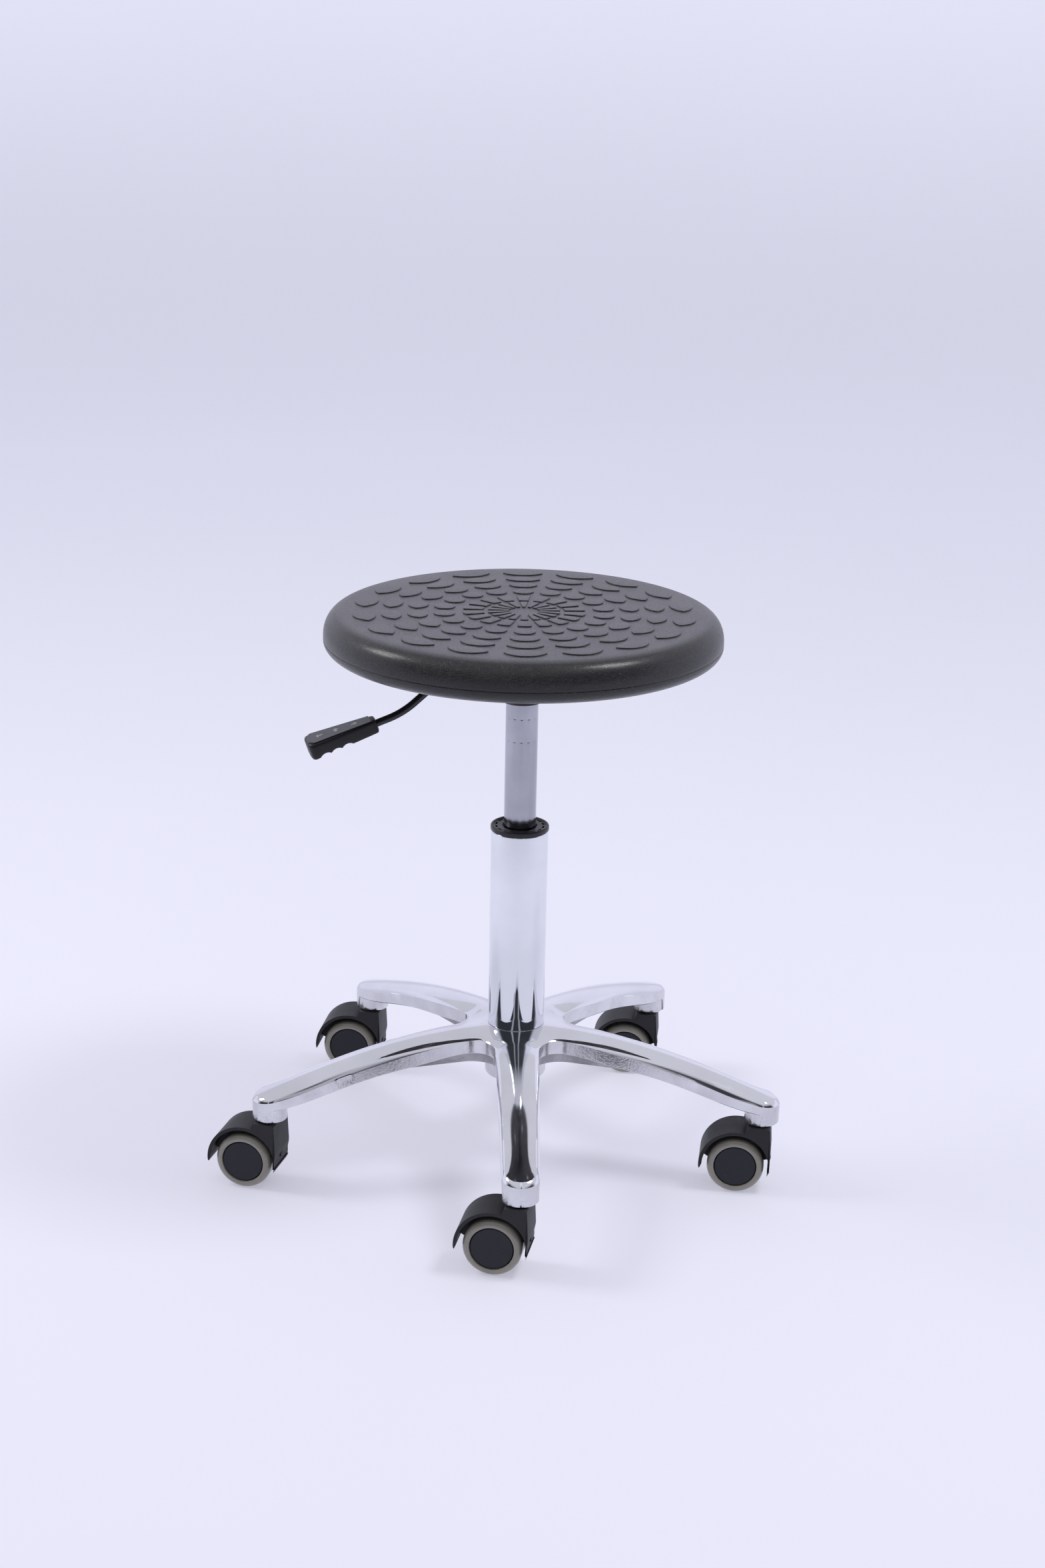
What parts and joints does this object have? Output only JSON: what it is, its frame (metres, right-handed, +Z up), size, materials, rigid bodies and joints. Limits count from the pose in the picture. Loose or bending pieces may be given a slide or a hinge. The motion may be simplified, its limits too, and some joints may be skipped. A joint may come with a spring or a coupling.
{
  "type": "swivel stool",
  "caption": "Height-adjustable swivel stool with a round moulded seat, gas column, release lever and five-arm cast base on twin-wheel casters.",
  "frame": {"origin": "foot of the column, where its axis meets the flat underside of the base's hub, 78 mm above the floor", "axes": "+Z up along the column axis, towards the seat; +X to the right of someone who faces the arm that points to the front (-Y)"},
  "size_m": [0.4998, 0.4543, 0.503],
  "materials": {
    "polished_aluminium": "polished cast aluminium, lightly brushed on the sides",
    "chrome": "bright plating",
    "satin_steel": "satin ground steel",
    "steel": "bright zinc-plated steel",
    "brass": "stamped brass",
    "black_plastic": "fine satin grain",
    "black_gloss": "gloss powder coat",
    "black_paint": "satin powder coat",
    "hood_plastic": "fine matt grain",
    "hub_plastic": "satin",
    "tyre": "smooth polyurethane with a soft gloss",
    "seat_skin": "moulded integral skin with a fine leather grain and a raised relief pattern",
    "rubber": "matt",
    "plywood": "plain sawn plywood"
  },
  "bodies": {
    "base": {"base_casting": "polished_aluminium", "column_tube": "chrome", "guide_bushing": "black_plastic", "thrust_cushion": "rubber", "lower_race": "steel"},
    "spindle": {"piston_rod": "steel", "piston": "black_plastic", "upper_race": "steel", "ball_cage": "brass", "rod_clip": "steel"},
    "seat": {"gas_cylinder": "satin_steel", "rod_gland": "black_plastic", "mechanism_housing": "black_paint", "seat_plate": "black_paint", "seat_bolt_1": "steel", "seat_bolt_2": "steel", "seat_bolt_3": "steel", "seat_bolt_4": "steel", "insert_board": "plywood", "seat_cushion": "seat_skin", "lever_pin": "steel"},
    "lever": {"lever_rod": "black_gloss", "lever_handle": "black_plastic"},
    "valve": {"valve_button": "steel"},
    "caster_1": {"caster_1_hood": "hood_plastic", "caster_1_stem": "steel", "caster_1_axle": "steel"},
    "caster_1_left_wheel": {"caster_1_left_hub": "hub_plastic", "caster_1_left_tyre": "tyre"},
    "caster_1_right_wheel": {"caster_1_right_hub": "hub_plastic", "caster_1_right_tyre": "tyre"},
    "caster_2": {"caster_2_hood": "hood_plastic", "caster_2_stem": "steel", "caster_2_axle": "steel"},
    "caster_2_left_wheel": {"caster_2_left_hub": "hub_plastic", "caster_2_left_tyre": "tyre"},
    "caster_2_right_wheel": {"caster_2_right_hub": "hub_plastic", "caster_2_right_tyre": "tyre"},
    "caster_3": {"caster_3_hood": "hood_plastic", "caster_3_stem": "steel", "caster_3_axle": "steel"},
    "caster_3_left_wheel": {"caster_3_left_hub": "hub_plastic", "caster_3_left_tyre": "tyre"},
    "caster_3_right_wheel": {"caster_3_right_hub": "hub_plastic", "caster_3_right_tyre": "tyre"},
    "caster_4": {"caster_4_hood": "hood_plastic", "caster_4_stem": "steel", "caster_4_axle": "steel"},
    "caster_4_left_wheel": {"caster_4_left_hub": "hub_plastic", "caster_4_left_tyre": "tyre"},
    "caster_4_right_wheel": {"caster_4_right_hub": "hub_plastic", "caster_4_right_tyre": "tyre"},
    "caster_5": {"caster_5_hood": "hood_plastic", "caster_5_stem": "steel", "caster_5_axle": "steel"},
    "caster_5_left_wheel": {"caster_5_left_hub": "hub_plastic", "caster_5_left_tyre": "tyre"},
    "caster_5_right_wheel": {"caster_5_right_hub": "hub_plastic", "caster_5_right_tyre": "tyre"}
  },
  "joints": [
    {"name": "seat_swivel", "type": "hinge", "parent": "base", "child": "spindle", "pos_m": [0, 0, 0], "axis": [0, 0, 1], "continuous": true},
    {"name": "seat_lift", "type": "slide", "parent": "spindle", "child": "seat", "axis": [0, 0, 1], "range_m": [-0.11, 0]},
    {"name": "lever_lift", "type": "hinge", "parent": "seat", "child": "lever", "pos_m": [-0.03493, -0.00871, 0.379], "axis": [-0.2419, 0.9703, 0], "range_deg": [0, 4.46], "stiffness_Nm_per_rad": 2, "springref_deg": -2.86},
    {"name": "valve_press", "type": "slide", "parent": "seat", "child": "valve", "axis": [0, 0, -1], "range_m": [0, 0.003]},
    {"name": "caster_1_swivel", "type": "hinge", "parent": "base", "child": "caster_1", "pos_m": [0.00669, -0.2254, 0], "axis": [0, 0, 1], "continuous": true},
    {"name": "caster_1_left_roll", "type": "hinge", "parent": "caster_1", "child": "caster_1_left_wheel", "pos_m": [-0.01318, -0.22175, -0.053], "axis": [-0.1805, -0.9836, 0], "continuous": true},
    {"name": "caster_1_right_roll", "type": "hinge", "parent": "caster_1", "child": "caster_1_right_wheel", "pos_m": [-0.01318, -0.22175, -0.053], "axis": [-0.1805, -0.9836, 0], "continuous": true},
    {"name": "caster_2_swivel", "type": "hinge", "parent": "base", "child": "caster_2", "pos_m": [0.21644, -0.06329, 0], "axis": [0, 0, 1], "continuous": true},
    {"name": "caster_2_left_roll", "type": "hinge", "parent": "caster_2", "child": "caster_2_left_wheel", "pos_m": [0.19637, -0.06097, -0.053], "axis": [-0.1149, -0.9934, 0], "continuous": true},
    {"name": "caster_2_right_roll", "type": "hinge", "parent": "caster_2", "child": "caster_2_right_wheel", "pos_m": [0.19637, -0.06097, -0.053], "axis": [-0.1149, -0.9934, 0], "continuous": true},
    {"name": "caster_3_swivel", "type": "hinge", "parent": "base", "child": "caster_3", "pos_m": [0.12707, 0.18629, 0], "axis": [0, 0, 1], "continuous": true},
    {"name": "caster_3_left_roll", "type": "hinge", "parent": "caster_3", "child": "caster_3_left_wheel", "pos_m": [0.10697, 0.18826, -0.053], "axis": [-0.0976, -0.9952, 0], "continuous": true},
    {"name": "caster_3_right_roll", "type": "hinge", "parent": "caster_3", "child": "caster_3_right_wheel", "pos_m": [0.10697, 0.18826, -0.053], "axis": [-0.0976, -0.9952, 0], "continuous": true},
    {"name": "caster_4_swivel", "type": "hinge", "parent": "base", "child": "caster_4", "pos_m": [-0.1379, 0.17842, 0], "axis": [0, 0, 1], "continuous": true},
    {"name": "caster_4_left_roll", "type": "hinge", "parent": "caster_4", "child": "caster_4_left_wheel", "pos_m": [-0.15789, 0.1813, -0.053], "axis": [-0.1426, -0.9898, 0], "continuous": true},
    {"name": "caster_4_right_roll", "type": "hinge", "parent": "caster_4", "child": "caster_4_right_wheel", "pos_m": [-0.15789, 0.1813, -0.053], "axis": [-0.1426, -0.9898, 0], "continuous": true},
    {"name": "caster_5_swivel", "type": "hinge", "parent": "base", "child": "caster_5", "pos_m": [-0.2123, -0.07601, 0], "axis": [0, 0, 1], "continuous": true},
    {"name": "caster_5_left_roll", "type": "hinge", "parent": "caster_5", "child": "caster_5_left_wheel", "pos_m": [-0.23185, -0.07092, -0.053], "axis": [-0.2521, -0.9677, 0], "continuous": true},
    {"name": "caster_5_right_roll", "type": "hinge", "parent": "caster_5", "child": "caster_5_right_wheel", "pos_m": [-0.23185, -0.07092, -0.053], "axis": [-0.2521, -0.9677, 0], "continuous": true}
  ],
  "couplings": [
    {"joint": "valve_press", "follows": "lever_lift", "m_per_rad": 0.036}
  ]
}
